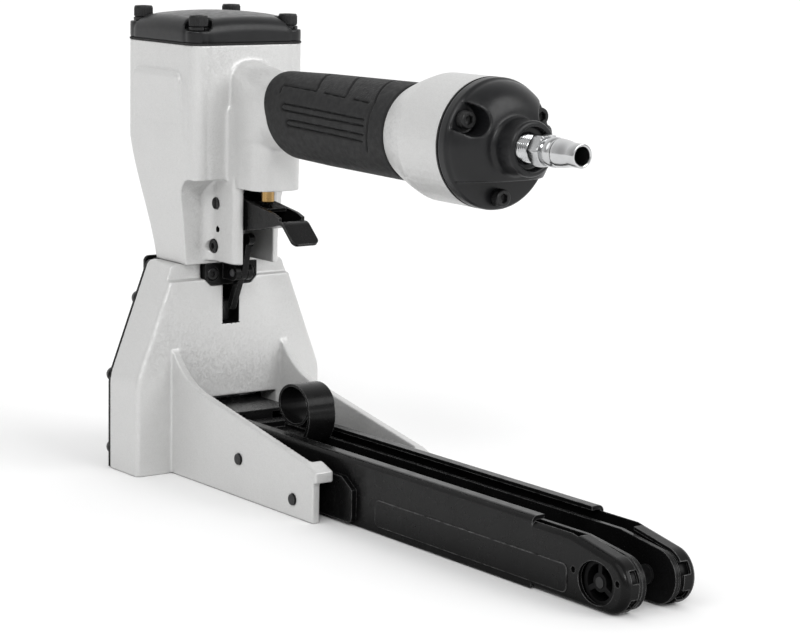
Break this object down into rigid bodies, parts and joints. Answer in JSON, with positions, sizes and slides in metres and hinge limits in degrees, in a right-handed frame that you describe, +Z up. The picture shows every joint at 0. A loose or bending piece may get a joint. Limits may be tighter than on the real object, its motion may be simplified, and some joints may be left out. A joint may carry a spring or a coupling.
{
  "type": "pneumatic carton stapler",
  "caption": "Air-driven carton closing stapler: cylinder head with a horizontal grip, wide foot with clinching horns, long open staple magazine and spring-loaded pusher.",
  "frame": {"origin": "On the floor under the middle of the whole tool's extents", "axes": "X runs from the foot to the tail of the magazine, Z is up, Y is across; the side seen in the picture is -Y"},
  "size_m": [0.3994, 0.116, 0.2446],
  "materials": {
    "silver": "light silver-grey paint with a fine speckle on cast aluminium",
    "black_cast": "satin black coating on cast aluminium",
    "black_steel": "satin black coated steel with worn edges",
    "oxide": "black oxide on steel fasteners",
    "rubber": "matte charcoal rubber",
    "gasket": "black sealing sheet",
    "brass": "plain brass",
    "zinc": "bright zinc on steel",
    "steel": "plain ground steel",
    "spring": "spring steel strip",
    "drum": "black nylon"
  },
  "bodies": {
    "tool": {"cylinder_housing": "silver", "base_casting": "silver", "top_cap": "black_cast", "end_cap": "black_cast", "cap_gasket": "gasket", "end_cap_gasket": "gasket", "piston_bumper": "rubber", "grip_sleeve": "rubber", "cap_washers": "oxide", "cap_screws": "oxide", "end_cap_screws": "oxide", "cheek_screw": "oxide", "front_plate_screws": "oxide", "upper_plate_screws": "oxide", "housing_screws": "oxide", "bracket_screws": "oxide", "trigger_pin": "oxide", "front_plate": "black_steel", "front_guard": "black_steel", "safety_bracket": "black_steel", "right_carrier": "black_steel", "left_carrier": "black_steel", "right_outer_plate": "black_steel", "left_outer_plate": "black_steel", "right_inner_plate": "black_steel", "left_inner_plate": "black_steel", "magazine_bridge": "black_steel", "cylinder_sleeve": "steel", "sole_plate": "steel", "clincher_pivots": "steel", "lever_pin": "steel", "arm_pins": "oxide", "magazine_spacers": "steel", "drum_axles": "steel", "rod_bush": "brass", "valve_bushing": "brass", "valve_spring": "spring", "right_spring_band": "spring", "left_spring_band": "spring", "air_plug": "zinc"},
    "drive": {"piston": "black_cast", "piston_ring": "gasket", "piston_rod": "steel", "crosshead": "steel", "driver_blade": "steel", "blade_pin": "steel"},
    "right_clinch": {"right_clincher": "steel", "right_follower": "steel"},
    "left_clinch": {"left_clincher": "steel", "left_follower": "steel"},
    "trigger_body": {"trigger": "black_steel"},
    "stem_body": {"valve_stem": "brass"},
    "safety_body": {"safety_lever": "black_steel"},
    "pusher_body": {"pusher": "black_steel"},
    "right_drum_body": {"right_drum": "drum"},
    "left_drum_body": {"left_drum": "drum"}
  },
  "joints": [
    {"name": "drive_stroke", "type": "slide", "parent": "tool", "child": "drive", "axis": [0, 0, -1], "range_m": [0, 0.031], "stiffness_N_per_m": 300, "springref_m": -0.02},
    {"name": "right_clinch_swing", "type": "hinge", "parent": "tool", "child": "right_clinch", "pos_m": [-0.16435, 0.009, 0.0245], "axis": [-1, 0, 0], "range_deg": [0, 77]},
    {"name": "left_clinch_swing", "type": "hinge", "parent": "tool", "child": "left_clinch", "pos_m": [-0.16435, -0.009, 0.0245], "axis": [1, 0, 0], "range_deg": [0, 77]},
    {"name": "trigger_pull", "type": "hinge", "parent": "tool", "child": "trigger_body", "pos_m": [-0.14035, 0, 0.1436], "axis": [0, -1, 0], "range_deg": [0, 5.5], "stiffness_Nm_per_rad": 0.6, "springref_deg": -11.46},
    {"name": "valve_stem_slide", "type": "slide", "parent": "tool", "child": "stem_body", "axis": [0, 0, 1], "range_m": [0, 0.0025], "deforming": ["valve_spring"]},
    {"name": "safety_swing", "type": "hinge", "parent": "tool", "child": "safety_body", "pos_m": [-0.13735, 0, 0.1065], "axis": [0, 1, 0], "range_deg": [-6, 6]},
    {"name": "pusher_slide", "type": "slide", "parent": "tool", "child": "pusher_body", "axis": [1, 0, 0], "range_m": [0, 0.2], "stiffness_N_per_m": 20, "springref_m": -0.3, "deforming": ["right_spring_band", "left_spring_band"]},
    {"name": "right_drum_spin", "type": "hinge", "parent": "tool", "child": "right_drum_body", "pos_m": [0.18015, 0.015, 0.013], "axis": [0, -1, 0], "range_deg": [0, 1080]},
    {"name": "left_drum_spin", "type": "hinge", "parent": "tool", "child": "left_drum_body", "pos_m": [0.18015, -0.015, 0.013], "axis": [0, -1, 0], "range_deg": [0, 1080]}
  ],
  "couplings": [
    {"joint": "right_clinch_swing", "follows": "drive_stroke", "rad_per_m": 43.145},
    {"joint": "left_clinch_swing", "follows": "drive_stroke", "rad_per_m": 43.145},
    {"joint": "valve_stem_slide", "follows": "trigger_pull", "m_per_rad": 0.025},
    {"joint": "right_drum_spin", "follows": "pusher_slide", "rad_per_m": 93.458},
    {"joint": "left_drum_spin", "follows": "pusher_slide", "rad_per_m": 93.458}
  ]
}
